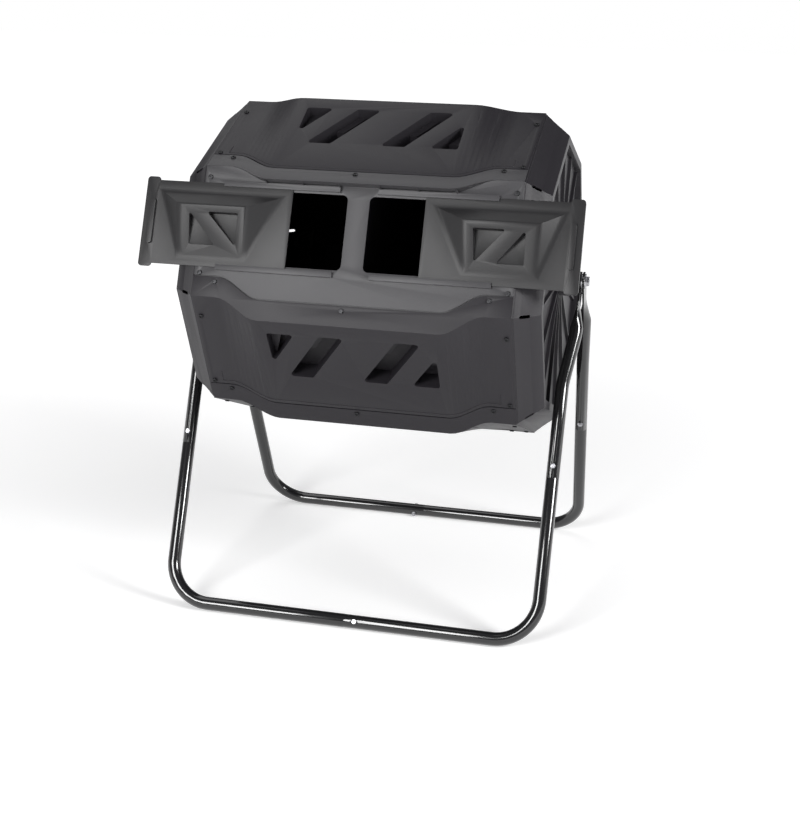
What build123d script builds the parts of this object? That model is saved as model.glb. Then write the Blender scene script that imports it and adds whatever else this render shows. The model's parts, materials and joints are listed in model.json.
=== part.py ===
from build123d import *
import os
from math import atan2, cos, hypot, radians, sin, tan

# Compost tumbler: an octagonal two-chamber drum that turns on two pivot bolts
# between the flattened tops of two U-shaped tube frames. Millimetres, +Z up,
# +X to the right seen from the door side, -Y towards the door side. The origin
# is on the floor, under the middle of the drum's axis.

# ---- Driving dimensions ----
overall_height = 955.0      # floor to the highest ridge of the drum
base_width = 735.0          # over the outside of the floor bars' bends, along X
base_depth = 625.0          # over the outside of the two floor bars, along Y

tube_radius = 12.5
tube_wall = 1.5
bend_radius = 80.0          # centre line of the large floor bends
leg_joint_height = 303.0    # along the leg, from the floor bar to the joint
floor_joint_offset = 5.0    # the floor joint sits beside the middle
spigot_length = 40.0
spigot_clearance = 0.05
joint_screw_offset = 22.0   # from a joint to its screw
joint_screw_radius = 3.0
joint_screw_head_radius = 5.0
joint_screw_head_height = 3.0
joint_screw_dome = 1.5      # rounding of the head's upper edge
joint_screw_reach = 6.0     # how far the screw comes out of the tube at the back
joint_nut_radius = 5.5
joint_nut_height = 4.5
joint_nut_clearance = 0.05
joint_hole_clearance = 0.2
jog_bend_radius = 120.0     # where a leg swings out to its pivot
jog_start_below = 204.0     # the jog's foot, below the axle along the leg
jog_end_below = 104.0
jog_run_out = 12.0          # straight round tube above the jog
flat_start_below = 44.0     # where the flattened end is fully flat
outboard_jog_reach = 5.0    # how far the jog swings the outboard leg out
inboard_jog_reach = 15.0

drum_radius = 315.0         # axis to the outside corners of the octagon
drum_half_length = 292.0    # middle to the panels' ends
drum_turn = 2.0             # how far the drum stands turned at rest, degrees
wall = 3.0                  # every moulded plastic wall
ridge_reach = 36.5          # how far a panel's middle runs past the corner
ridge_margin = 11.0         # of full ridge past the pockets, at each end
ridge_end_margin = 46.0     # from the ridge's end to the panel's end
flange_width = 36.0         # lap of one panel over the next
flange_gap = 2.0            # between a flange's edge and the step beside it
lap_inset = 9.0             # from the corner back to a lap's end
lap_inset_gap = 1.0         # round a lap where the end cap's lip is let in for it
step_overlap = 8.0          # how far the lap runs in under the main wall
plate_drop = 1.0            # how far the door panel's flat plate stands below the others
visor_drop = 0.8            # slope of the visor's front over its height
visor_root = 0.9            # how far inside the corner its wall starts at the ends
visor_rib_width = 2.5
visor_rib_root = 4.0        # how far in from the visor's edge a rib starts
visor_rib_run = 6.0         # how far a rib's foot runs down the plate

pocket_centre = 107.5       # from the corner above, down the face
pocket_height = 107.0
pocket_width = 46.0
pocket_lean = 73.0          # how far a pocket leans sideways over its height
pocket_half_span = 155.0
pocket_pitch = 140.0
pocket_end_cut = 52.0       # length of the level edge of the cut-off end pockets
pocket_centre_x = 3.0
pocket_depth = 38.0
pocket_corner = 5.0
ledge_depth = 20.0          # how deep the ledge inside each pocket lies
ledge_width = 14.0
ledge_share = 0.45          # of a slanted pocket's height that its ledge takes

cap_inset = 40.0            # of the end cap's outer corners from the drum's
cap_depth = 46.0            # how far the end cap stands out past the panels
cap_land = 16.0             # flat ring round the end face
cap_recess = 12.0           # how deep the ribbed face lies behind that ring
cap_rim_wall = 3.9
cap_lip_depth = 30.0        # how far the lip reaches in under the panels
cap_lip_wall = 6.0
rim_step = 1.5              # how far the cap's rim stands below the panels
cap_rib_width = 4.0
cap_rib_height = 6.0
cap_rib_root = 6.0          # how far a rib runs into the hub
cap_slot_length = 17.0
cap_slot_width = 6.0
cap_slot_in = 20.0          # from the panels' ends to the slots
hub_radius = 30.0
hub_stand = 12.0            # past the end cap's outer face
hub_length = 50.0
bush_radius = 9.0
bush_flange_radius = 15.0
bush_flange = 2.0

pivot_bolt_radius = 5.0
pivot_running_clearance = 0.05
pivot_hole_clearance = 0.2
pivot_gap = 0.5             # between the turning bush and the fixed spacer
pivot_end_play = 1.0        # between the hub and the washer inside it
plate_thickness = 4.0       # flattened leg end
plate_width = 36.0
plate_edge = 1.8            # rounding of the flattened end's edges
washer_thickness = 2.0
washer_radius = 14.0
spacer_radius = 11.0
spacer_length = 16.5
bolt_head_radius = 8.5
bolt_head_height = 6.5
bolt_head_chamfer = 0.8
bolt_end = 2.0              # thread that shows past the nut
pivot_nut_height = 9.0

door_cover = 52.0           # how much longer a door is than its opening
door_height = 154.0
door_thickness = 2.5
door_wall = 2.5
door_open = 102.0           # how far each door stands from its closed place
door_clearance = 0.6        # between a door's plate and what guides it
door_bulge = 24.0
lug_length = 25.0
lug_reach = 6.0             # past the plate's edges, and short of the panel's screws
bulge_inner_margin = 16.0
bulge_outer_margin = 31.0
bulge_top_margin = 21.5     # from the door's edges to the bulge's
bulge_bottom_margin = 16.5
bulge_skin = 3.5            # how far the hollow lies below the bulge, 2.5 across its slopes
post_half_width = 20.0
opening_margin = 44.0       # from an opening's outer end to the panel's end
opening_inset = 9.0         # of an opening's edges from the door's, up and down
opening_corner = 10.0
opening_centre = 10.5       # of the openings, above the face's middle line
rail_start_inset = 14.0     # past the post
rail_end_reach = 4.0        # past the opening
rail_foot = 4.0
rail_lip = 3.0
rail_overhang = 6.0

divider_thickness = 3.0
divider_gap = 1.5           # between the divider's edge and the laps

screw_radius = 2.1
screw_hole_clearance = 0.15
screw_length = 12.0
screw_head_radius = 4.4
screw_head_height = 2.4

# ---- Places that follow from them ----
cap_end_radius = drum_radius - cap_inset
cap_end_x = drum_half_length + cap_depth
hub_end_x = cap_end_x + hub_stand
hub_inner_x = hub_end_x - hub_length
ridge_inner = pocket_half_span + ridge_margin
ridge_outer = drum_half_length - ridge_end_margin
opening_length = drum_half_length - opening_margin - post_half_width
opening_height = door_height - 2 * opening_inset
door_length = opening_length + door_cover
rail_start = post_half_width + rail_start_inset
rail_end = post_half_width + opening_length + rail_end_reach
half_turn = radians(22.5)
side = 2 * drum_radius * sin(half_turn)
outer_apothem = drum_radius * cos(half_turn)
lap_apothem = outer_apothem - wall      # the plane where panels lap
fold_reach = wall * tan(half_turn)      # a flange's fold past the lap corner
lap_half = lap_apothem * tan(half_turn)
axle_height = overall_height - hypot(
    outer_apothem + ridge_reach * sin(radians(45)),
    side / 2 - ridge_reach * cos(radians(45)),
) * cos(radians(drum_turn) + half_turn - atan2(
    side / 2 - ridge_reach * cos(radians(45)),
    outer_apothem + ridge_reach * sin(radians(45)),
))
leg_foot_x = base_width / 2 - tube_radius
leg_foot_y = base_depth / 2 - tube_radius
leg_length = hypot(leg_foot_y, axle_height - tube_radius)
inboard_plate_x = hub_end_x + bush_flange + pivot_gap + spacer_length + plate_thickness / 2
outboard_plate_x = inboard_plate_x + plate_thickness + washer_thickness
bolt_head_x = outboard_plate_x + plate_thickness / 2 + washer_thickness
jog_start = leg_length - jog_start_below
jog_end = leg_length - jog_end_below
flat_start = leg_length - flat_start_below
outboard_jog_x = outboard_plate_x - outboard_jog_reach
inboard_jog_x = inboard_plate_x - inboard_jog_reach
face_step = 45
face_count = 8
door_face = 1
rest_turn = drum_turn + 22.5

os.makedirs("parts", exist_ok=True)

# a screw's shank goes down from its seat, and its head stands on it
below = (Align.CENTER, Align.CENTER, Align.MAX)
above = (Align.CENTER, Align.CENTER, Align.MIN)


def hand_in(shape, name):
    shape.label = name
    export_step(shape, f"parts/{name}.step")


def on_drum(shape, face=0):
    """Move a piece from the drum's own frame, where face 0 looks up, to its place."""
    turn = Location((0, 0, axle_height), (rest_turn + face_step * face, 0, 0))
    return shape.moved(turn)


# ---- Stand: two identical U frames, the rear one turned half round ----
def frame_plane(front):
    """X along the floor bar and Y up the slope of the legs, normal to the outside."""
    way = 1 if front else -1
    slope = Vector(0, way * leg_foot_y, axle_height - tube_radius)
    across = Vector(way, 0, 0)
    return Plane(
        origin=(0, -way * leg_foot_y, tube_radius), x_dir=across, z_dir=across.cross(slope)
    )


def joint_x(outboard):
    """Where a leg's centre line passes the joint, out from the middle."""
    jog_x = outboard_jog_x if outboard else inboard_jog_x
    return leg_foot_x + (jog_x - leg_foot_x) * leg_joint_height / jog_start


def end_plane(path, at):
    return Plane(origin=path @ at, z_dir=path % at)


def tube_along(path, outer, inner):
    for radius, mode in ((outer, Mode.ADD), (inner, Mode.SUBTRACT)):
        with BuildSketch(end_plane(path, 0)) as ring:
            Circle(radius)
        sweep(sections=ring.sketch, path=path, mode=mode)


def spigot(plane):
    """The reduced end that slides into the next tube, joined by a short shoulder."""
    fit = tube_radius - tube_wall - spigot_clearance
    for radius, length in ((fit, spigot_length), (tube_radius - tube_wall / 2, -2 * tube_wall)):
        with BuildSketch(plane) as ring:
            Circle(radius)
            Circle(fit - tube_wall, mode=Mode.SUBTRACT)
        extrude(ring.sketch, amount=length)


def screw_places(frame, outboard_left):
    """The frame's three joint screws: floor joint, left leg joint, right leg joint."""
    rise = leg_joint_height + joint_screw_offset
    places = [(joint_screw_offset - floor_joint_offset, 0)]
    for hand in (-1, 1):
        out = joint_x(outboard_left == (hand < 0))
        lean = (out - leg_foot_x) / leg_joint_height
        places.append((hand * (out + lean * joint_screw_offset), rise))
    return [frame * Location((x, y, 0)) for x, y in places]


def joint_holes(frame):
    hole = joint_screw_radius + joint_hole_clearance
    with Locations(*screw_places(frame, True)):
        Cylinder(hole, 4 * tube_radius, mode=Mode.SUBTRACT)


def lower_tube(front, left):
    frame = frame_plane(front)
    hand = -1 if left else 1
    with BuildPart() as tube:
        with BuildLine(frame) as line:
            FilletPolyline(
                (-floor_joint_offset, 0),
                (hand * leg_foot_x, 0),
                (hand * joint_x(left), leg_joint_height),
                radius=bend_radius,
            )
        path = line.wires()[0]
        tube_along(path, tube_radius, tube_radius - tube_wall)
        spigot(end_plane(path, 1))
        if left:
            start = end_plane(path, 0)
            spigot(Plane(origin=start.origin, z_dir=-start.z_dir))
        joint_holes(frame)
    return tube


def upper_leg(front, left):
    frame = frame_plane(front)
    hand = -1 if left else 1
    top_x = hand * (outboard_plate_x if left else inboard_plate_x)
    jog_x = hand * (outboard_jog_x if left else inboard_jog_x)
    with BuildPart() as leg:
        with BuildLine(frame) as line:
            FilletPolyline(
                (hand * joint_x(left), leg_joint_height),
                (jog_x, jog_start),
                (top_x, jog_end),
                (top_x, jog_end + jog_run_out),
                radius=jog_bend_radius,
            )
        path = line.wires()[0]
        tube_along(path, tube_radius, tube_radius - tube_wall)
        round_end = end_plane(path, 1)
        flat_end = Plane(
            origin=(frame * Location((top_x, flat_start, 0))).position,
            x_dir=(1, 0, 0),
            z_dir=round_end.z_dir,
        )
        round_end = Plane(origin=round_end.origin, x_dir=(1, 0, 0), z_dir=flat_end.z_dir)
        with BuildSketch(round_end):
            Circle(tube_radius)
        with BuildSketch(flat_end):
            RectangleRounded(plate_thickness, plate_width, plate_edge)
        loft()
        blade = Plane(
            origin=(frame * Location((top_x - plate_thickness / 2, leg_length, 0))).position,
            x_dir=flat_end.z_dir,
            z_dir=frame.x_dir,
        )
        with BuildSketch(blade):
            with Locations(((flat_start - leg_length) / 2, 0)):
                Rectangle(leg_length - flat_start, plate_width)
            Circle(plate_width / 2)
            Circle(pivot_bolt_radius + pivot_hole_clearance, mode=Mode.SUBTRACT)
        extrude(amount=plate_thickness)
        joint_holes(frame)
    return leg


for front in (True, False):
    for left in (True, False):
        # a frame's own left is the object's right on the frame that is turned round
        place = ("front" if front else "rear") + ("_left" if left == front else "_right")
        hand_in(lower_tube(front, left).part, f"{place}_lower_tube")
        hand_in(upper_leg(front, left).part, f"{place}_upper_leg")

joint_places = screw_places(frame_plane(True), True) + screw_places(frame_plane(False), True)
joint_crests = [place * Location((0, 0, tube_radius)) for place in joint_places]
joint_backs = [place * Location((0, 0, -tube_radius)) for place in joint_places]

with BuildPart() as stand_joint_screws:
    with Locations(*joint_crests):
        Cylinder(joint_screw_radius, 2 * tube_radius + joint_screw_reach, align=below)
        Cylinder(joint_screw_head_radius, joint_screw_head_height, align=above)
    rims = stand_joint_screws.edges().filter_by(GeomType.CIRCLE)
    heads = rims.filter_by(lambda edge: abs(edge.radius - joint_screw_head_radius) < 0.01)
    tops = [crest * Location((0, 0, joint_screw_head_height)) for crest in joint_crests]
    fillet([heads.sort_by_distance(top.position)[0] for top in tops], joint_screw_dome)
hand_in(stand_joint_screws.part, "stand_joint_screws")

with BuildPart() as stand_joint_nuts:
    with BuildSketch(*[Plane(back) for back in joint_backs]):
        RegularPolygon(joint_nut_radius, 6)
        Circle(joint_screw_radius + joint_nut_clearance, mode=Mode.SUBTRACT)
    extrude(amount=-joint_nut_height)
hand_in(stand_joint_nuts.part, "stand_joint_nuts")


# ---- Pivots: the fixed bolt, washers, spacer and nut at each end of the drum ----
def both_ends(shape, name):
    """A pivot piece is made for the +X end and mirrored for the other."""
    lifted = shape.moved(Location((0, 0, axle_height)))
    for piece, hand in ((lifted, "right"), (mirror(lifted, about=Plane.YZ), "left")):
        hand_in(piece, f"{hand}_{name}")


def x_plane(x):
    return Plane(origin=(x, 0, 0), x_dir=(0, 1, 0), z_dir=(1, 0, 0))


pivot_hole_radius = pivot_bolt_radius + pivot_hole_clearance
pivot_nut_x = hub_inner_x - pivot_end_play - washer_thickness
bolt_end_x = pivot_nut_x - pivot_nut_height - bolt_end

with BuildPart() as pivot_bolt:
    with BuildSketch(x_plane(bolt_end_x)):
        Circle(pivot_bolt_radius)
    extrude(amount=bolt_head_x - bolt_end_x)
    with BuildSketch(x_plane(bolt_head_x)):
        RegularPolygon(bolt_head_radius, 6, major_radius=False)
    extrude(amount=bolt_head_height)
    chamfer(pivot_bolt.faces().sort_by(Axis.X)[-1].edges(), bolt_head_chamfer)
both_ends(pivot_bolt.part, "pivot_bolt")

with BuildPart() as pivot_washers:
    middle_washer_x = inboard_plate_x + plate_thickness / 2
    for x in (pivot_nut_x, middle_washer_x, bolt_head_x - washer_thickness):
        with BuildSketch(x_plane(x)):
            Circle(washer_radius)
            Circle(pivot_hole_radius, mode=Mode.SUBTRACT)
        extrude(amount=washer_thickness)
both_ends(pivot_washers.part, "pivot_washers")

with BuildPart() as pivot_spacer:
    with BuildSketch(x_plane(hub_end_x + bush_flange + pivot_gap)):
        Circle(spacer_radius)
        Circle(pivot_hole_radius, mode=Mode.SUBTRACT)
    extrude(amount=spacer_length)
both_ends(pivot_spacer.part, "pivot_spacer")

with BuildPart() as pivot_nut:
    with BuildSketch(x_plane(pivot_nut_x - pivot_nut_height)):
        RegularPolygon(bolt_head_radius, 6, major_radius=False)
        Circle(pivot_bolt_radius + pivot_running_clearance, mode=Mode.SUBTRACT)
    extrude(amount=pivot_nut_height)
both_ends(pivot_nut.part, "pivot_nut")


# ---- Hub bushes: pressed into the end caps, they turn on the bolts ----
with BuildPart() as hub_bush:
    with BuildSketch(x_plane(hub_inner_x)):
        Circle(bush_radius)
    extrude(amount=hub_end_x - hub_inner_x)
    with BuildSketch(x_plane(hub_end_x)):
        Circle(bush_flange_radius)
    extrude(amount=bush_flange)
    with BuildSketch(x_plane(hub_inner_x)):
        Circle(pivot_bolt_radius + pivot_running_clearance)
    extrude(amount=hub_end_x + bush_flange - hub_inner_x, mode=Mode.SUBTRACT)
both_ends(hub_bush.part, "hub_bush")


# ---- The octagon's measures, in a face's own terms ----
# v runs down a face from the corner above it, w stands out from the lap plane, and
# reach is how far the ridge has run past the corner at the place along the drum.
def ridge_at(x):
    """How far past the corner the ridge reaches at x: full in the middle, none at the ends."""
    t = min(max((ridge_outer - abs(x)) / (ridge_outer - ridge_inner), 0), 1)
    return ridge_reach * t * t * (3 - 2 * t)


def past_corner(along, height):
    """A point that lies `along` past the corner in the plane of the face above."""
    c = cos(radians(45))
    return (c * (along - height), c * (along + height))


def on_face(v, w):
    """Turn (v, w) into drum coordinates (y, z) for the face that looks straight up."""
    return (lap_half - v, lap_apothem + w)


def step_v(reach):
    """Where the main wall steps down for the next panel's flange."""
    return 2 * lap_half - flange_width + reach - flange_gap


def lap_end_v(reach):
    return 2 * lap_half + reach - lap_inset


def vent_section(reach):
    """The outline of a vent panel's wall, cut across the drum."""
    fold_v, fold_w = past_corner(fold_reach + reach, wall)
    taper_v = step_v(ridge_reach)
    tilt = atan2(fold_w - wall, taper_v - fold_v)

    def outside(v):
        return wall + (taper_v - v) * tan(tilt)

    inner_fold = fold_reach + reach - wall * tan((radians(45) + tilt) / 2)
    step = step_v(reach)
    inner_step = step - step_overlap
    return [
        past_corner(reach - flange_width, wall),
        (fold_v, fold_w),
        (step, outside(step)),
        (step, 0),
        (lap_end_v(reach), 0),
        (lap_end_v(reach), -wall),
        (inner_step, -wall),
        (inner_step, outside(inner_step) - wall / cos(tilt)),
        past_corner(inner_fold, 0),
        past_corner(reach - flange_width, 0),
    ]


plate_w = wall - plate_drop


def door_section(reach):
    """The door panel: the flange runs on as a visor, with a flat plate below it."""
    fold_v, fold_w = past_corner(fold_reach + reach, wall)
    inner_v = max(fold_v + visor_drop - wall, -visor_root)
    step = step_v(reach)
    return [
        past_corner(reach - flange_width, wall),
        (fold_v, fold_w),
        (fold_v + visor_drop, plate_w),
        (step, plate_w),
        (step, 0),
        (lap_end_v(reach), 0),
        (lap_end_v(reach), -wall),
        (step - step_overlap, -wall),
        (step - step_overlap, plate_w - wall),
        (inner_v, plate_w - wall),
        (inner_v, inner_v),
        past_corner(reach - flange_width, 0),
    ]


def stations():
    """Places along the drum where a section is drawn, closer together on the ridge's ramps."""
    steps = 8
    ramp = [ridge_inner + (ridge_outer - ridge_inner) * i / steps for i in range(steps + 1)]
    half = ramp + [drum_half_length]
    return [-x for x in reversed(half)] + half


def panel_wall(section):
    cuts = []
    for x in stations():
        with BuildSketch(x_plane(x)) as cut:
            with BuildLine():
                Polyline(*[on_face(v, w) for v, w in section(ridge_at(x))], close=True)
            make_face()
        cuts.append(cut.sketch)
    loft(sections=cuts, ruled=True)


# ---- Screws: places on a face, as (x, y) with y up the face from its middle ----
edge_screw_x = drum_half_length - 10.0
edge_screw_v = (44.0, 195.0)
door_screw_reach = 5.0      # past a door's lugs, on the door panel
seam_screw_x = drum_half_length - 41.0
middle_screw_x = -10.0
seam_screw_set = 27.0       # from the flange's fold back to its screws
hole_radius = screw_radius + screw_hole_clearance
hole_length = 8 * wall
flange_hole_length = 3.5 * wall     # short enough to miss the wall behind the flange


def edge_places(hand, face=0):
    heights = [lap_half - v for v in edge_screw_v]
    if face == door_face:
        reach = door_height / 2 + lug_reach + door_screw_reach
        heights = [opening_centre + reach, opening_centre - reach]
    return [(hand * edge_screw_x, y) for y in heights]


def seam_places():
    """Screws through the flange that laps this face's lower edge."""
    return [
        (x, lap_half - (2 * lap_half + ridge_at(x) - seam_screw_set))
        for x in (-seam_screw_x, middle_screw_x, seam_screw_x)
    ]


def pilot_holes(spots, face=0):
    flat = Location((0, 0, 0), (face_step * face, 0, 0))
    with Locations(*[flat * Location((x, y, lap_apothem)) for x, y in spots]):
        Cylinder(hole_radius, hole_length, mode=Mode.SUBTRACT)


def flange_holes():
    """The same seam screws seen from the panel below, whose flange they pass."""
    turned = Location((0, 0, 0), (-face_step, 0, 0))
    spots = [turned * Location((x, y, lap_apothem)) for x, y in seam_places()]
    with Locations(*spots):
        Cylinder(hole_radius, flange_hole_length, mode=Mode.SUBTRACT)



# ---- Vent panel: slanted pockets in the tilted middle of the panel ----
def ridge_plane():
    """The tilted plane of a vent panel's middle, with its origin amid the pockets."""
    fold_v, fold_w = past_corner(fold_reach + ridge_reach, wall)
    taper_v = step_v(ridge_reach)
    rise = (fold_w - wall) / (taper_v - fold_v)
    y, z = on_face(pocket_centre, wall + rise * (taper_v - pocket_centre))
    return Plane(origin=(pocket_centre_x, y, z), x_dir=(1, 0, 0), z_dir=(0, -rise, 1))


def pocket_outlines():
    """Two slanted bars, and half a bar at each end that is cut off upright."""
    top, lean = pocket_height / 2, pocket_lean
    bars = []
    for x in (-pocket_pitch / 2, pocket_pitch / 2):
        left, right = x - pocket_width / 2, x + pocket_width / 2
        high = [(left + lean / 2, top), (right + lean / 2, top)]
        low = [(right - lean / 2, -top), (left - lean / 2, -top)]
        bars.append(high + low)
    drop = pocket_end_cut * pocket_height / lean
    end = pocket_half_span
    half = [(-end, top), (pocket_end_cut - end, top), (-end, top - drop)]
    return bars + [half, [(-x, -y) for x, y in half]]


def ledge_outlines():
    """In the same order as the pockets: along a bar's upper left, and half of each end pocket."""
    top, lean = pocket_height / 2, pocket_lean
    ledges = []
    for x in (-pocket_pitch / 2, pocket_pitch / 2):
        left, shift = x - pocket_width / 2 + lean / 2, lean * ledge_share
        low = top - pocket_height * ledge_share
        ledges.append(
            [
                (left, top),
                (left + ledge_width, top),
                (left + ledge_width - shift, low),
                (left - shift, low),
            ]
        )
    drop = pocket_end_cut * pocket_height / lean
    end, half_cut = pocket_half_span, pocket_end_cut / 2
    ledges.append([(-end, top), (half_cut - end, top), (-end, top - drop)])
    ledges.append([(end, drop - top), (end, drop / 2 - top), (end - half_cut, drop / 2 - top)])
    return ledges


def pocket_sketch(plane, outline, walls=0.0):
    with BuildSketch(plane) as pocket:
        with BuildLine():
            Polyline(*outline, close=True)
        make_face()
        fillet(pocket.vertices(), pocket_corner)
        if walls:
            offset(amount=walls)
    return pocket.sketch


def ledge_sketch(outline, ledge):
    """The part of a pocket that its ledge fills, drawn flat."""
    with BuildSketch() as shelf:
        add(pocket_sketch(Plane.XY, outline))
        with BuildLine(mode=Mode.PRIVATE) as edge:
            Polyline(*ledge, close=True)
        make_face(edge.edges(), mode=Mode.INTERSECT)
    return shelf.sketch


def pockets(surface):
    """Walls and floor of each pocket, then its hollow, then the ledge inside it."""
    down = -surface.z_dir
    for outline in pocket_outlines():
        shell = pocket_sketch(surface.offset(-wall / 2), outline, wall)
        extrude(shell, amount=pocket_depth - wall / 2, dir=down)
    for outline, ledge in zip(pocket_outlines(), ledge_outlines()):
        hollow = pocket_sketch(surface.offset(wall), outline)
        extrude(hollow, amount=pocket_depth, dir=down, mode=Mode.SUBTRACT)
        shelf = surface.offset(-ledge_depth).location * ledge_sketch(outline, ledge)
        extrude(shelf, amount=pocket_depth - ledge_depth, dir=down)


with BuildPart() as vent_panel:
    panel_wall(vent_section)
    pockets(ridge_plane())
    pilot_holes(edge_places(-1) + edge_places(1) + seam_places())
    flange_holes()

vent_panels = {
    "top_panel": 0,
    "lower_front_panel": 2,
    "bottom_front_panel": 3,
    "bottom_rear_panel": 4,
    "lower_rear_panel": 5,
    "upper_rear_panel": 6,
    "top_rear_panel": 7,
}
for name, face in vent_panels.items():
    hand_in(on_drum(vent_panel.part, face), name)


# ---- Door panel: visor, two openings with a post between, and four guide rails ----
hands = (-1, 1)
plate_y = lap_apothem + plate_w
door_low_w = plate_w + door_clearance / 2
door_high_w = door_low_w + door_thickness
rail_inside = door_height / 2 + door_clearance
visor_ribs = (-172.0, -104.0, -36.0, 39.0, 108.0, 177.0)

with BuildPart() as door_panel:
    panel_wall(door_section)
    plate = Plane.XY.offset(plate_y)
    with BuildSketch(plate):
        for hand in hands:
            with Locations((hand * (post_half_width + opening_length / 2), opening_centre)):
                RectangleRounded(opening_length, opening_height, opening_corner)
    extrude(amount=-2 * wall, mode=Mode.SUBTRACT)
    for edge in hands:
        foot_y = opening_centre + edge * (rail_inside + rail_foot / 2)
        lip_y = opening_centre + edge * (rail_inside + (rail_foot - rail_overhang) / 2)
        with BuildSketch(plate.offset(-wall / 2)):
            with Locations(*[(hand * (rail_start + rail_end) / 2, foot_y) for hand in hands]):
                Rectangle(rail_end - rail_start, rail_foot)
        extrude(amount=wall / 2 + door_thickness + door_clearance + rail_lip)
        with BuildSketch(plate.offset(door_thickness + door_clearance)):
            with Locations(*[(hand * (rail_start + rail_end) / 2, lip_y) for hand in hands]):
                Rectangle(rail_end - rail_start, rail_foot + rail_overhang)
        extrude(amount=rail_lip)
    visor_v, visor_w = past_corner(fold_reach + ridge_reach, wall)
    rib_top = on_face(visor_v - visor_drop / 2, visor_w - visor_rib_root)
    rib_low = on_face(visor_v + visor_rib_run, plate_w - wall / 2)
    for x in visor_ribs:
        with BuildSketch(x_plane(x)):
            with BuildLine():
                Polyline(rib_top, (rib_top[0], rib_low[1]), rib_low, close=True)
            make_face()
        extrude(amount=visor_rib_width / 2, both=True)
    pilot_holes(edge_places(-1, door_face) + edge_places(1, door_face) + seam_places())
    flange_holes()
hand_in(on_drum(door_panel.part, door_face), "door_panel")


# ---- Sliding doors: a plate with a wedge-shaped bulge, made for +X and mirrored ----
door_inner_x = post_half_width + door_open
door_outer_x = door_inner_x + door_length
bulge_inner_x = door_inner_x + bulge_inner_margin
bulge_outer_x = door_outer_x - bulge_outer_margin
bulge_ridge_in = 60.0       # from the bulge's inner end to its ridge, along the door
bulge_ridge_out = 42.0
bulge_top = opening_centre + door_height / 2 - bulge_top_margin
bulge_bottom = opening_centre - door_height / 2 + bulge_bottom_margin
bulge_slope = 24.0          # height of the steep upper side, up the face
door_corner = 6.0
door_lip = 3.8              # the outer end is turned back towards the drum
grip_length = 82.0
grip_width = 10.0
grip_height = 5.0
grip_inset = 17.0
recess_floor = 6.0          # above the door's plate
recess_top = bulge_top - bulge_slope - 12.0
recess_bottom = bulge_bottom + 22.0
recess_corner = 2.5
recess_inner = bulge_inner_x + bulge_ridge_in + 16.0
recess_outer = bulge_outer_x - bulge_ridge_out - 23.0
recess_outlines = (
    [
        (recess_inner, recess_top),
        (recess_inner + 58.0, recess_top),
        (recess_inner + 4.0, recess_bottom),
    ],
    [
        (recess_outer, recess_top),
        (recess_outer, recess_bottom),
        (recess_outer - 50.0, recess_bottom),
    ],
)


def bulge():
    """The wedge: highest along its upper ridge, and cut slantwise at both ends."""
    base = lap_apothem + door_low_w
    ridge = base + door_thickness + door_bulge
    with BuildPart() as wedge:
        with BuildSketch(x_plane(bulge_inner_x)):
            with BuildLine():
                Polyline(
                    (bulge_top, base),
                    (bulge_top, base + door_thickness),
                    (bulge_top - bulge_slope, ridge),
                    (bulge_bottom, base + door_thickness),
                    (bulge_bottom, base),
                    close=True,
                )
            make_face()
        extrude(amount=bulge_outer_x - bulge_inner_x)
        for x, run in ((bulge_inner_x, bulge_ridge_in), (bulge_outer_x, -bulge_ridge_out)):
            corner = Vector(x, bulge_top, base)
            ridge_end = Vector(x + run, bulge_top - bulge_slope, ridge)
            foot = Vector(x + run, bulge_bottom, base)
            normal = (ridge_end - corner).cross(foot - corner)
            if normal.Z > 0:
                normal = -normal
            split(bisect_by=Plane(origin=corner, z_dir=normal), keep=Keep.TOP)
    return wedge.part


def recess_sketch(walls):
    """The two triangular recesses in the bulge, grown by `walls` all round."""
    for outline in recess_outlines:
        with BuildLine() as edge:
            Polyline(*outline, close=True)
        triangle = make_face(edge.line)
        rounded = fillet(triangle.vertices(), recess_corner)
        if walls:
            offset(rounded, amount=walls)


solid_bulge = bulge()
door_y = lap_apothem + door_low_w

with BuildPart() as recess_walls:
    with BuildSketch(Plane.XY.offset(door_y + recess_floor - door_wall)):
        recess_sketch(door_wall)
    extrude(amount=2 * door_bulge)
    add(solid_bulge, mode=Mode.INTERSECT)

with BuildPart() as door:
    with BuildSketch(Plane.XY.offset(door_y)):
        with Locations(((door_inner_x + door_outer_x) / 2, opening_centre)):
            RectangleRounded(door_length, door_height, door_corner)
        with Locations((door_outer_x - lug_length / 2, opening_centre)):
            RectangleRounded(lug_length, door_height + 2 * lug_reach, door_corner)
    extrude(amount=door_thickness)
    with BuildSketch(Plane.XY.offset(door_y - door_lip)):
        with Locations((door_outer_x - door_thickness / 2, opening_centre)):
            Rectangle(door_thickness, door_height + 2 * (lug_reach - door_corner))
    extrude(amount=door_lip)
    add(solid_bulge)
    add(solid_bulge.moved(Location((0, 0, -bulge_skin))), mode=Mode.SUBTRACT)
    add(recess_walls.part)
    with BuildSketch(Plane.XY.offset(door_y + recess_floor)):
        recess_sketch(0)
    extrude(amount=2 * door_bulge, mode=Mode.SUBTRACT)
    with BuildSketch(Plane.XY.offset(door_y)):
        with Locations((door_outer_x - grip_inset, opening_centre)):
            SlotOverall(grip_length, grip_width, rotation=90)
    extrude(amount=door_thickness + grip_height)
for piece, hand in ((door.part, "right"), (mirror(door.part, about=Plane.YZ), "left")):
    hand_in(on_drum(piece, door_face), f"{hand}_door")


# ---- End caps: tapered rim, ribbed face, hub, and a lip that the panels screw to ----
def octagon(plane, corner_radius):
    with BuildSketch(plane) as sketch:
        RegularPolygon(corner_radius, face_count, rotation=22.5)
    return sketch.sketch


def corner(apothem):
    return apothem / cos(half_turn)


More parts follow.
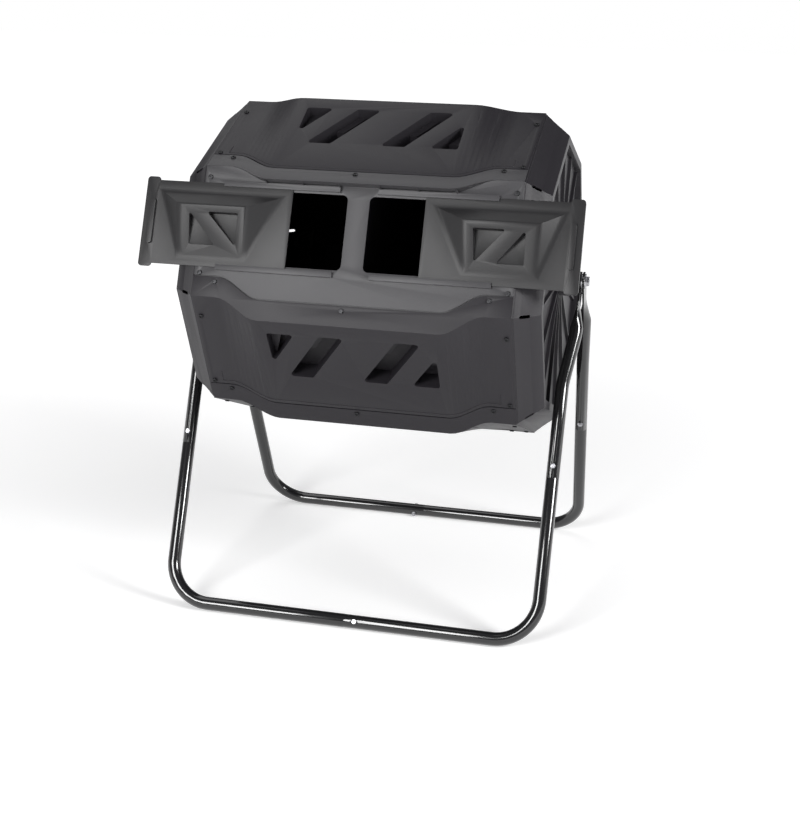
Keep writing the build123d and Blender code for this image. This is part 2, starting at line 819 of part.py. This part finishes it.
lip_outer = corner(lap_apothem + plate_w - wall)
lip_inner = corner(lap_apothem - cap_lip_wall)
rim_inner = corner(outer_apothem - rim_step - cap_rim_wall)
cap_face_x = cap_end_x - cap_recess
face_radius = cap_end_radius - cap_land
taper = (drum_radius - cap_end_radius) / (cap_end_x - drum_half_length)
cap_back_x = cap_face_x - wall

with BuildPart() as end_cap:
    loft(sections=[
        octagon(x_plane(drum_half_length), corner(outer_apothem - rim_step)),
        octagon(x_plane(cap_end_x), cap_end_radius),
    ])
    loft(
        sections=[
            octagon(x_plane(drum_half_length), rim_inner),
            octagon(x_plane(cap_back_x), rim_inner - taper * (cap_back_x - drum_half_length)),
        ],
        mode=Mode.SUBTRACT,
    )
    extrude(octagon(x_plane(cap_face_x), face_radius), amount=cap_recess, mode=Mode.SUBTRACT)
    extrude(octagon(x_plane(drum_half_length - cap_lip_depth), lip_outer), amount=cap_lip_depth)
    extrude(octagon(x_plane(drum_half_length), corner(outer_apothem - 2 * rim_step)), amount=wall)
    extrude(
        octagon(x_plane(drum_half_length - cap_lip_depth), lip_inner),
        amount=cap_lip_depth + wall,
        mode=Mode.SUBTRACT,
    )
    # the lip is let in where each panel's lap lies on it
    lap_top = lap_half - (step_v(0) - step_overlap) + lap_inset_gap
    lap_low = lap_half - lap_end_v(0) - 4 * lap_inset_gap
    for face in range(face_count):
        flat = Plane(Location((0, 0, 0), (face_step * face, 0, 0)))
        with BuildSketch(flat.offset(lap_apothem - wall)):
            with Locations((drum_half_length - cap_lip_depth / 2, (lap_top + lap_low) / 2)):
                Rectangle(cap_lip_depth, lap_top - lap_low)
        extrude(amount=2 * wall, mode=Mode.SUBTRACT)
    # hub and ribs
    with BuildSketch(x_plane(hub_inner_x)):
        Circle(hub_radius)
    extrude(amount=hub_end_x - hub_inner_x)
    with BuildSketch(x_plane(cap_face_x - wall / 2)):
        with PolarLocations((hub_radius + face_radius) / 2 - cap_rib_root, 2 * face_count):
            Rectangle(face_radius - hub_radius, cap_rib_width)
    extrude(amount=cap_rib_height + wall / 2)
    with BuildSketch(x_plane(hub_inner_x)):
        Circle(bush_radius)
    extrude(amount=hub_end_x - hub_inner_x, mode=Mode.SUBTRACT)
    # drain slots on the rim, one at each corner
    for face in range(face_count):
        turn = (face + 0.5) * face_step
        edge = Plane(Location((drum_half_length + cap_slot_in, 0, 0), (turn, 0, 0)))
        with BuildSketch(edge.offset(cap_end_radius)):
            SlotOverall(cap_slot_length, cap_slot_width)
        extrude(amount=drum_radius - cap_end_radius, mode=Mode.SUBTRACT)
    # pilot holes for the panels' edge screws
    for face in range(face_count):
        pilot_holes(edge_places(1, face), face)
for piece, hand in ((end_cap.part, "right"), (mirror(end_cap.part, about=Plane.YZ), "left")):
    hand_in(on_drum(piece), f"{hand}_end_cap")


# ---- Divider between the two chambers, a plate that follows the panels' inside ----
def divider_corners(face):
    """The divider's edge along one face, as (v, w)."""
    inset = -wall - divider_gap
    low = (lap_end_v(ridge_reach) - ridge_reach, inset)
    if face == door_face:
        visor_v = past_corner(fold_reach + ridge_reach, wall)[0] - wall - divider_gap
        under_lap = past_corner(visor_v / cos(radians(45)) + inset, inset)
        return [under_lap, (under_lap[0], plate_w - wall - divider_gap), low]
    return [past_corner(ridge_reach, inset), low]


def face_point(face, v, w):
    y, z = on_face(v, w)
    turn = radians(face_step * face)
    return (y * cos(turn) - z * sin(turn), y * sin(turn) + z * cos(turn))


divider_edge = []
for face in range(face_count):
    divider_edge += [face_point(face, v, w) for v, w in divider_corners(face)]

with BuildPart() as divider:
    with BuildSketch(x_plane(-divider_thickness / 2)):
        with BuildLine():
            Polyline(*divider_edge, close=True)
        make_face()
    extrude(amount=divider_thickness)
hand_in(on_drum(divider.part), "chamber_divider")


# ---- Panel screws, one node for each end and one for the seams ----
def screws(spots):
    with BuildPart() as group:
        with Locations(*spots):
            Cylinder(screw_radius, screw_length, align=below)
            Cylinder(screw_head_radius, screw_head_height, align=above)
    return group.part


def face_location(face, x, y, w):
    return Location((0, 0, 0), (face_step * face, 0, 0)) * Location((x, y, lap_apothem + w))


for hand, name in ((-1, "left"), (1, "right")):
    spots = []
    for face in range(face_count):
        seat = plate_w if face == door_face else wall
        spots += [face_location(face, x, y, seat) for x, y in edge_places(hand, face)]
    hand_in(on_drum(screws(spots)), f"{name}_end_screws")

seam_spots = [
    face_location(face, x, y, wall) for face in range(face_count) for x, y in seam_places()
]
hand_in(on_drum(screws(seam_spots)), "seam_screws")
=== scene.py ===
# %% [markdown]
# # A compost tumbler, dressed for its portrait
# The frame holds every part of the tumbler at its real size: the octagonal drum with its
# two sliding doors, and the bent tube stand. Here each part gets the soft edges, the
# moulded grain and the paint that it has on the real thing. Everything is in metres, with
# the floor at z = 0 and the door side towards -Y.

import json
from math import cos, radians, sin, tan

import bmesh
import bpy
from mathutils import Matrix, Vector
from mathutils.bvhtree import BVHTree

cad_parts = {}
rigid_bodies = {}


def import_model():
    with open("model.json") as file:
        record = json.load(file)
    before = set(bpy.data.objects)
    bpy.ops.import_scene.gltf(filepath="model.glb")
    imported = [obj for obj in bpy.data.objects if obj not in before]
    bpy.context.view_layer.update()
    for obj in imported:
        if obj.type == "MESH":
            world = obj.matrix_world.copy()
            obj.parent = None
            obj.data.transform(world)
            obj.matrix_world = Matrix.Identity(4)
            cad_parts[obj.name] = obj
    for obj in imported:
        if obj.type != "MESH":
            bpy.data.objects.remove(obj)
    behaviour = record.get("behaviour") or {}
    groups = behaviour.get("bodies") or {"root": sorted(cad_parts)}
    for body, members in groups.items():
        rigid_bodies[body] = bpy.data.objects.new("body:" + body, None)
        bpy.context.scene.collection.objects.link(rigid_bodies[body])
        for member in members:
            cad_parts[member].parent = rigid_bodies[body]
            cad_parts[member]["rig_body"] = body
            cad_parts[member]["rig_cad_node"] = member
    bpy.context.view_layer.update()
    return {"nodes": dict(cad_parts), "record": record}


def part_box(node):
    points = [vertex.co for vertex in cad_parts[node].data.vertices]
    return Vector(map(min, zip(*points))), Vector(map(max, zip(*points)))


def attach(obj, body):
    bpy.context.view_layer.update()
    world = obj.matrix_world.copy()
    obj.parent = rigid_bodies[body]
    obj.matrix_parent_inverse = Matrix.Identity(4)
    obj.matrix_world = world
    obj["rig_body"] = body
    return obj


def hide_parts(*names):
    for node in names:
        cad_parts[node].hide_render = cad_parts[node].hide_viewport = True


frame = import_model()

axle = (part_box("left_hub_bush")[0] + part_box("right_hub_bush")[1]) / 2
print("the drum turns about a line", round(axle.z, 4), "m above the floor")

# %% [markdown]
# ## Writing a finish as sums
# A finish is a node tree, but it reads better as a formula. `Wire` holds one output of a
# node, and adding or multiplying wires adds the Math nodes. `Finish` holds a material, and
# its `node` method adds any other node: the settings first, then the sockets.


# %% Wires and finishes
class Wire:
    def __init__(self, finish, socket):
        self.finish, self.socket = finish, socket

    def maths(self, operation, first, second):
        return self.finish.node("Math", {"operation": operation}, {0: first, 1: second})

    def __add__(self, other):
        return self.maths("ADD", self, other)

    def __sub__(self, other):
        return self.maths("SUBTRACT", self, other)

    def __rsub__(self, other):
        return self.maths("SUBTRACT", other, self)

    def __mul__(self, other):
        return self.maths("MULTIPLY", self, other)

    __radd__, __rmul__ = __add__, __mul__


class Finish:
    def __init__(self, name):
        self.material = bpy.data.materials.new(name)
        self.material.use_nodes = True
        self.tree = self.material.node_tree
        self.shader = self.tree.nodes["Principled BSDF"]

    def plug(self, socket, value):
        if isinstance(value, Wire):
            self.tree.links.new(value.socket, socket)
        else:
            socket.default_value = value

    def node(self, kind, settings, sockets, output=0):
        made = self.tree.nodes.new("ShaderNode" + kind)
        stops = settings.pop("stops", None)
        for key, value in settings.items():
            setattr(made, key, value)
        if stops:
            ramp = made.color_ramp
            while len(ramp.elements) < len(stops):
                ramp.elements.new(0.5)
            for element, (place, tone) in zip(ramp.elements, stops):
                element.position, element.color = place, (tone, tone, tone, 1)
        for label, value in sockets.items():
            self.plug(made.inputs[label], value)
        return Wire(self, made.outputs[output])

    def noise(self, scale, detail=2.0, roughness=0.5):
        """Cloudy values about 0.5, read in the object's own metres."""
        where = self.node("TexCoord", {}, {}, "Object")
        sockets = {"Vector": where, "Scale": scale, "Detail": detail, "Roughness": roughness}
        return self.node("TexNoise", {}, sockets, "Fac")

    def steps(self, value, *stops):
        return self.node("ValToRGB", {"stops": stops}, {"Fac": value})

    def blend(self, factor, first, second):
        settings = {"data_type": "RGBA"}
        colours = {"Factor": factor, 6: first + (1,), 7: second + (1,)}
        return self.node("Mix", settings, colours, 2)

    def bump(self, height, strength, distance):
        sockets = {"Height": height, "Strength": strength, "Distance": distance}
        self.set("Normal", self.node("Bump", {}, sockets))

    def set(self, label, value):
        self.plug(self.shader.inputs[label], value)


# %% [markdown]
# ## Moulded plastic
# The drum is injection-moulded polypropylene with a fine spark-eroded grain. Seen close,
# the grain is a soft bump a few tenths of a millimetre across. Seen from far, long faint
# clouds show where the plastic flowed. The drum is a lilac charcoal and its doors are a more
# neutral tone. The panel behind the doors is painted paler than both. This is painted light,
# standing in for the key light that its upright face catches.


# %% Plastic finishes
def moulded_plastic(name, light, dark, roughness):
    """Grained plastic between two tones, a little glossier where the mould was polished by use."""
    plastic = Finish(name)
    clouds = plastic.noise(7.0, 4.0, 0.55)
    fine = plastic.noise(900.0, 3.0, 0.6)
    mottle = plastic.noise(95.0, 3.0, 0.6)
    plastic.set("Base Color", plastic.blend(0.65 * clouds + 0.35 * mottle, dark, light))
    plastic.set("Roughness", roughness + 0.10 * (clouds - 0.5) + 0.14 * (fine - 0.5))
    plastic.bump(fine + 0.5 * mottle, 0.12, 0.0006)
    plastic.set("Specular IOR Level", 0.28)
    return plastic.material


plastic_tones = {
    "drum_plastic": ((0.0175, 0.0160, 0.0190), (0.0125, 0.0113, 0.0140), 0.46),
    "door_plastic": ((0.021, 0.0205, 0.0215), (0.015, 0.0147, 0.0155), 0.40),
    # the panel behind the doors: painted light, a paler copy of the plastic for the light its face
    # catches
    "front_plastic_painted_light": ((0.052, 0.051, 0.054), (0.039, 0.038, 0.041), 0.42),
    "bush_plastic": ((0.022, 0.022, 0.024), (0.014, 0.014, 0.016), 0.35),
}
drum_plastic, door_plastic, front_plastic_painted_light, bush_plastic = [
    moulded_plastic(name, *tones) for name, tones in plastic_tones.items()
]
print("plastics:", drum_plastic.name, door_plastic.name, bush_plastic.name)

# %% [markdown]
# ## Paint and plated steel
# The stand is powder coated: a thick black gloss coat with a very low orange peel. The
# screws are black zinc, which on the real thing is darker in its hollows and wears to grey on
# its edges; here its plating is only blotched in tone and gloss. The pivot bolts are bright
# zinc with faint turning marks.

# %% Metal finishes
paint = Finish("tube_paint")
peel = paint.noise(260.0, 2.0, 0.4)
dust = paint.noise(14.0, 5.0, 0.6)
paint.set("Base Color", paint.blend(dust, (0.006, 0.006, 0.0065), (0.011, 0.011, 0.012)))
paint.set("Roughness", 0.12 + 0.08 * dust)
paint.set("Coat Weight", 0.6)
paint.set("Coat Roughness", 0.06)
paint.bump(peel, 0.05, 0.0004)
tube_paint = paint.material


def plated_steel(name, light, dark, roughness):
    """Metal with uneven plating: blotches in tone, and finer blotches in roughness."""
    steel = Finish(name)
    blotches = steel.noise(420.0, 4.0, 0.6)
    marks = steel.noise(1600.0, 2.0, 0.5)
    steel.set("Base Color", steel.blend(blotches, dark, light))
    steel.set("Metallic", 1.0)
    steel.set("Roughness", roughness + 0.2 * (marks - 0.5) + 0.15 * (blotches - 0.5))
    steel.bump(marks, 0.08, 0.0002)
    return steel.material


black_zinc = plated_steel("black_zinc", (0.055, 0.055, 0.058), (0.018, 0.018, 0.019), 0.42)
joint_zinc = plated_steel("joint_zinc", (0.50, 0.50, 0.52), (0.30, 0.30, 0.32), 0.28)
bright_zinc = plated_steel("bright_zinc", (0.66, 0.66, 0.68), (0.46, 0.46, 0.48), 0.30)
print("metals:", tube_paint.name, black_zinc.name, bright_zinc.name)

# %% [markdown]
# ## Which finish goes where
# Each CAD part already knows its material slot. A table from slot to finish dresses every
# part of the frame at once, and new pieces look their finish up in the same table.

# %% Dress the frame
finish_of_slot = {
    "drum_plastic": drum_plastic,
    "door_plastic": door_plastic,
    "bush_plastic": bush_plastic,
    "tube_paint": tube_paint,
    "joint_hardware": joint_zinc,
    "pivot_steel": bright_zinc,
    "panel_screws": black_zinc,
}
slot_of_node = {part["node"]: part["material_slot"] for part in frame["record"]["subparts"]}
body_of_node = {
    node: body
    for body, nodes in frame["record"]["behaviour"]["bodies"].items()
    for node in nodes
}


def finish_of(node):
    """The finish a part wears: the panel behind the doors wears a paler copy, painted light for
    the key light its face catches.
    """
    if node == "door_panel":
        return front_plastic_painted_light
    return finish_of_slot[slot_of_node[node]]


def wear(piece, finish):
    piece.data.materials.clear()
    piece.data.materials.append(finish)


for node, part in frame["nodes"].items():
    for place in part.material_slots:
        place.material = finish_of(node)
print("dressed", len(frame["nodes"]), "parts of the frame")

# %% [markdown]
# ## Soft edges
# Nothing moulded or bent has a knife edge, and it is the soft edge that catches the light.
# Each of these parts is copied from the frame, its loose triangles are merged into whole
# faces, and a Bevel modifier rounds every fold. The size of the part doesn't change.


# %% Rounding helper
def only(piece):
    """Leave this one piece selected and active."""
    bpy.ops.object.select_all(action="DESELECT")
    piece.select_set(True)
    bpy.context.view_layer.objects.active = piece


def merged_copy(node, name):
    source = frame["nodes"][node]
    piece = source.copy()
    piece.data = source.data.copy()
    piece.parent = None
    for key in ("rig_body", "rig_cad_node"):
        del piece[key]
    piece.name = piece.data.name = name
    bpy.context.scene.collection.objects.link(piece)
    only(piece)
    bpy.ops.object.mode_set(mode="EDIT")
    bpy.ops.mesh.select_all(action="SELECT")
    bpy.ops.mesh.remove_doubles(threshold=0.00002)
    bpy.ops.mesh.dissolve_limited(angle_limit=radians(0.6))
    bpy.ops.object.mode_set(mode="OBJECT")
    return piece


def round_edges(piece, width, sharp=28.0, segments=3):
    """Round every edge sharper than `sharp` degrees to about `width` metres."""
    only(piece)
    bevel = piece.modifiers.new("rounding", "BEVEL")
    bevel.limit_method, bevel.angle_limit = "ANGLE", radians(sharp)
    bevel.width, bevel.segments = width, segments
    bevel.miter_outer = "MITER_ARC"
    bevel.harden_normals = False
    bpy.ops.object.modifier_apply(modifier=bevel.name)
    bpy.ops.object.shade_smooth_by_angle(angle=radians(40))


def stand_for(piece, node):
    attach(piece, body_of_node[node])
    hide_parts(node)
    wear(piece, finish_of(node))


def soften(node, width, sharp=28.0):
    piece = merged_copy(node, node + "_soft")
    round_edges(piece, width, sharp)
    stand_for(piece, node)
    return piece


def weigh_folds(piece, shortest, shallowest, steepest):
    """Mark the long shallow folds of a moulding, which the next Bevel rounds by weight."""
    shape = bmesh.new()
    shape.from_mesh(piece.data)
    marks = piece.data.attributes.new("bevel_weight_edge", "FLOAT", "EDGE")
    for edge in shape.edges:
        long_enough = edge.calc_length() > shortest
        if long_enough and len(edge.link_faces) == 2:
            if shallowest < edge.calc_face_angle() < steepest:
                marks.data[edge.index].value = 1.0
    shape.free()


def swell_folds(piece, width):
    only(piece)
    bevel = piece.modifiers.new("swell", "BEVEL")
    bevel.limit_method, bevel.width, bevel.segments = "WEIGHT", width, 7
    bpy.ops.object.modifier_apply(modifier=bevel.name)


def soften_door(node):
    """A door's bulge flows out of its plate, so its long folds get a far larger rounding."""
    shortest_fold, fold_rounding, edge_rounding = 0.030, 0.007, 0.0009
    piece = merged_copy(node, node + "_soft")
    weigh_folds(piece, shortest_fold, radians(7), radians(62))
    swell_folds(piece, fold_rounding)
    round_edges(piece, edge_rounding, 40.0)
    stand_for(piece, node)
    return piece


# %% Soften the drum, the doors and the stand
panels = [node for node in frame["nodes"] if node.endswith("_panel")]
caps = ["left_end_cap", "right_end_cap"]
doors = ["left_door", "right_door"]
tubes = [node for node in frame["nodes"] if node.endswith(("_lower_tube", "_upper_leg"))]
for nodes, width in ((panels, 0.0012), (caps, 0.0016), (tubes, 0.0004)):
    for node in nodes:
        piece = soften(node, width)
        print(piece.name, len(piece.data.polygons), "faces")
for node in doors:
    piece = soften_door(node)
    print(piece.name, len(piece.data.polygons), "faces")

# %% [markdown]
# ## A raised line round each vent panel
# Each vent panel has a thin bead moulded just above the step where the next panel laps it.
# The bead follows the step's curve and turns up at both ends. Its points are laid out flat
# on the panel's face, then dropped onto the panel itself, so the bead sits on its skin.

# %% Beads
drum_radius, wall = 0.315, 0.003
lap_apothem = drum_radius * cos(radians(22.5)) - wall    # axle to the plane where panels lap
lap_half = lap_apothem * tan(radians(22.5))
ridge_reach, ridge_start, ridge_end = 0.0365, 0.166, 0.246
bead_end, bead_turn_up, bead_radius = 0.265, 0.022, 0.0007
step_to_bead, step_to_corner = 0.007, 0.038
above_skin = 0.05
rest_turn, face_step = 24.5, 45.0
vent_faces = {
    "top_panel": 0,
    "lower_front_panel": 2,
    "bottom_front_panel": 3,
    "bottom_rear_panel": 4,
    "lower_rear_panel": 5,
    "upper_rear_panel": 6,
    "top_rear_panel": 7,
}


def step_height(x):
    """How far down the face the step lies, which is lower where the ridge is full."""
    rise = min(max((ridge_end - abs(x)) / (ridge_end - ridge_start), 0), 1)
    return 2 * lap_half - step_to_corner + ridge_reach * rise * rise * (3 - 2 * rise)


def bead_points():
    """(x, y) on the face, y up from its middle line."""
    count = 48
    run = []
    for i in range(count + 1):
        x = bead_end * (2 * i / count - 1)
        run.append((x, lap_half - step_height(x) + step_to_bead))
    first, last = run[0], run[-1]
    return [(first[0], first[1] + bead_turn_up)] + run + [(last[0], last[1] + bead_turn_up)]


def drop_on(skin, turn, x, y):
    """The point of the panel's skin under (x, y) of the face."""
    outward = Vector((0, -sin(turn), cos(turn)))
    along = Vector((0, cos(turn), sin(turn)))
    above = Vector((x, 0, axle.z)) + along * y + outward * (lap_apothem + above_skin)
    return skin.ray_cast(above, -outward)[0]


def skin_of(part):
    """The faces of a part as a tree that rays can be cast at."""
    corners = [part.matrix_world @ vertex.co for vertex in part.data.vertices]
    return BVHTree.FromPolygons(corners, [list(face.vertices) for face in part.data.polygons])


beads = bpy.data.curves.new("panel_beads", "CURVE")
beads.dimensions, beads.bevel_depth, beads.bevel_resolution = "3D", bead_radius, 3
for node, face in vent_faces.items():
    skin = skin_of(frame["nodes"][node])
    points = [drop_on(skin, radians(rest_turn + face_step * face), x, y) for x, y in bead_points()]
    line = beads.splines.new("POLY")
    line.points.add(len(points) - 1)
    for spot, point in zip(line.points, points):
        spot.co = (*point, 1)
bead = bpy.data.objects.new("panel_beads", beads)
bpy.context.scene.collection.objects.link(bead)
only(bead)
bpy.ops.object.convert(target="MESH")
bpy.ops.object.shade_smooth()
bead = bpy.context.object
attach(bead, "drum")
wear(bead, drum_plastic)
print("beads on", len(vent_faces), "panels")

# %% [markdown]
# ## Screws with a cross
# A screw's head is a low dome with a cross pressed into it. One is turned from a cylinder:
# its upper edge is rounded, and two crossed bars are cut out of its top. It is then copied
# to each place where the frame has a screw, found from the flat top of each head.


# %% Model one screw head
def screw_head(name, radius, height, bar_length, bar_width, depth):
    dome = height * 0.06
    bpy.ops.object.select_all(action="DESELECT")
    middle = (0, 0, height / 2)
    bpy.ops.mesh.primitive_cylinder_add(vertices=28, radius=radius, depth=height, location=middle)
    head = bpy.context.object
    head.name = name
    bpy.ops.object.transform_apply(location=True, rotation=False, scale=False)
    bpy.ops.object.mode_set(mode="EDIT")
    bpy.ops.mesh.select_all(action="DESELECT")
    bpy.ops.object.mode_set(mode="OBJECT")
    for face in head.data.polygons:
        face.select = face.normal.z > 0.9
    bpy.ops.object.mode_set(mode="EDIT")
    bpy.ops.mesh.inset(thickness=radius * 0.2)
    bpy.ops.transform.translate(value=(0, 0, dome))
    bpy.ops.object.mode_set(mode="OBJECT")
    round_edges(head, height * 0.35, 40.0)
    for turn in (0, 90):
        bpy.ops.object.select_all(action="DESELECT")
        bpy.ops.mesh.primitive_cube_add(
            size=1, location=(0, 0, height + dome), rotation=(0, 0, radians(turn))
        )
        bar = bpy.context.object
        bar.scale = (bar_length, bar_width, depth * 2)
        bpy.ops.object.transform_apply(location=True, rotation=True, scale=True)
        only(head)
        cut = head.modifiers.new("cross", "BOOLEAN")
        cut.operation, cut.object, cut.solver = "DIFFERENCE", bar, "EXACT"
        bpy.ops.object.modifier_apply(modifier=cut.name)
        bpy.data.objects.remove(bar)
    bpy.ops.object.shade_smooth_by_angle(angle=radians(35))
    return head


def head_places(node):
    """The flat top of each screw in a CAD part: its middle and the way it faces."""
    group = merged_copy(node, node + "_places")
    bpy.ops.mesh.separate(type="LOOSE")
    places = []
    for part in list(bpy.context.selected_objects):
        top = max(part.data.polygons, key=lambda face: face.area)
        places.append((top.center.copy(), top.normal.copy()))
        bpy.data.objects.remove(part)
    return places


def set_screws(model, node, name):
    copies = []
    spin_step = 37      # degrees, so that no two crosses line up
    for number, (top, way) in enumerate(head_places(node)):
        copy = model.copy()
        copy.data = model.data.copy()
        spin = Matrix.Rotation(radians(spin_step * number), 4, "Z")
        turn = way.to_track_quat("Z", "Y").to_matrix().to_4x4()
        copy.data.transform(Matrix.Translation(top - way * head_height) @ turn @ spin)
        bpy.context.scene.collection.objects.link(copy)
        copies.append(copy)
    bpy.ops.object.select_all(action="DESELECT")
    for copy in copies:
        copy.select_set(True)
    bpy.context.view_layer.objects.active = copies[0]
    bpy.ops.object.join()
    group = bpy.context.object
    group.name = name
    stand_for(group, node)
    print(name, len(copies), "screws")


head_radius, head_height = 0.0044, 0.0024
cross_length, cross_width, cross_depth = 0.0052, 0.0013, 0.0012
panel_screw = screw_head(
    "panel_screw", head_radius, head_height, cross_length, cross_width, cross_depth
)
for node in ("left_end_screws", "right_end_screws", "seam_screws"):
    set_screws(panel_screw, node, node[:-1] + "_heads")
bpy.data.objects.remove(panel_screw)

# %% [markdown]
# ## Camera, floor and lights
# The tumbler stands on a plain pale floor in a soft studio. The camera looks slightly down
# at the door side from a little to the right, from nearly three metres away.

# %% Camera
camera_azimuth, camera_elevation, camera_roll = radians(12.916), radians(14.044), radians(1.318)
camera_distance, camera_focus = 2.758, 1394.4      # metres, and focal length over the frame's 800
frame_width, frame_height = 800, 814
principal_x, principal_y = 431.9, 342.8
camera_target = Vector((0.0818, 0, 0.4830))

back = Vector((
    sin(camera_azimuth) * cos(camera_elevation),
    -cos(camera_azimuth) * cos(camera_elevation),
    sin(camera_elevation),
))
right = (-back).cross(Vector((0, 0, 1))).normalized()
up = right.cross(-back)
rolled_right = cos(camera_roll) * right + sin(camera_roll) * up
rolled_up = cos(camera_roll) * up - sin(camera_roll) * right
camera_data = bpy.data.cameras.new("camera")
camera = bpy.data.objects.new("camera", camera_data)
bpy.context.scene.collection.objects.link(camera)
turned = Matrix((rolled_right, rolled_up, back)).transposed().to_4x4()
camera.matrix_world = Matrix.Translation(camera_target + camera_distance * back) @ turned
camera_data.sensor_fit, camera_data.sensor_width = "HORIZONTAL", 36.0
camera_data.lens = camera_focus * 36.0 / frame_width
camera_data.shift_x = (frame_width / 2 - principal_x) / frame_width
camera_data.shift_y = (principal_y - frame_height / 2) / frame_width
bpy.context.scene.camera = camera
print("camera at", [round(v, 3) for v in camera.location])

# %% [markdown]
# The floor is a pale sweep with a glow painted into it: painted light that is dim near the
# tumbler and grows to white with distance, standing in for a seamless studio paper whose far
# part is lit on its own. The sky is pale along the horizon and dark overhead, so that glossy
# paint shows the lamps and not a grey dome.

# %% Floor and sky
bpy.ops.object.select_all(action="DESELECT")
bpy.ops.mesh.primitive_plane_add(size=60, location=(0, 0, -0.0005))
floor = bpy.context.object
floor.name = "studio_floor"
floor_finish = Finish("studio_floor")
floor_finish.set("Base Color", (0.86, 0.86, 0.86, 1))
floor_finish.set("Roughness", 0.9)
floor_finish.set("Specular IOR Level", 0.0)
place = floor_finish.node("TexCoord", {}, {}, "Object")
away = floor_finish.node("VectorMath", {"operation": "LENGTH"}, {0: place}, "Value")
# painted light: the floor glows, dim near the tumbler and white far off
painted_floor_glow = floor_finish.steps(0.1 * away, (0.06, 0.34), (0.25, 0.78), (0.6, 0.98))
floor_finish.set("Emission Color", painted_floor_glow)
floor_finish.set("Emission Strength", 1.0)
wear(floor, floor_finish.material)

world = bpy.data.worlds.new("studio")
bpy.context.scene.world = world
world.use_nodes = True
sky = world.node_tree
heading = sky.nodes.new("ShaderNodeTexCoord")
parts = sky.nodes.new("ShaderNodeSeparateXYZ")
tones = sky.nodes.new("ShaderNodeValToRGB")
sky.links.new(heading.outputs["Generated"], parts.inputs["Vector"])
sky.links.new(parts.outputs["Z"], tones.inputs["Fac"])
sky.links.new(tones.outputs["Color"], sky.nodes["Background"].inputs["Color"])
tones.color_ramp.elements[0].position = 0.02
tones.color_ramp.elements[0].color = (1, 1, 1, 1)
tones.color_ramp.elements[1].position = 0.16
tones.color_ramp.elements[1].color = (0.14, 0.14, 0.145, 1)


# %% Lights
def soft_light(name, place, aim, size, power):
    light = bpy.data.lights.new(name, "AREA")
    light.shape, light.size, light.energy = "SQUARE", size, power
    lamp = bpy.data.objects.new(name, light)
    lamp.location = place
    lamp.rotation_euler = (Vector(aim) - Vector(place)).to_track_quat("-Z", "Y").to_euler()
    bpy.context.scene.collection.objects.link(lamp)


# name, place, aim, side of the square in metres, watts
lamps = (
    ("key_light", (-1.1, -3.3, 1.75), (0, 0, 0.6), 1.3, 90),
    ("side_light", (3.2, -1.2, 1.9), (0, 0, 0.5), 1.0, 105),
    ("top_light", (-0.9, 0.6, 3.0), (0, 0, 0.6), 2.2, 20),
)
for lamp in lamps:
    soft_light(*lamp)
bpy.context.scene.view_settings.view_transform = "Standard"
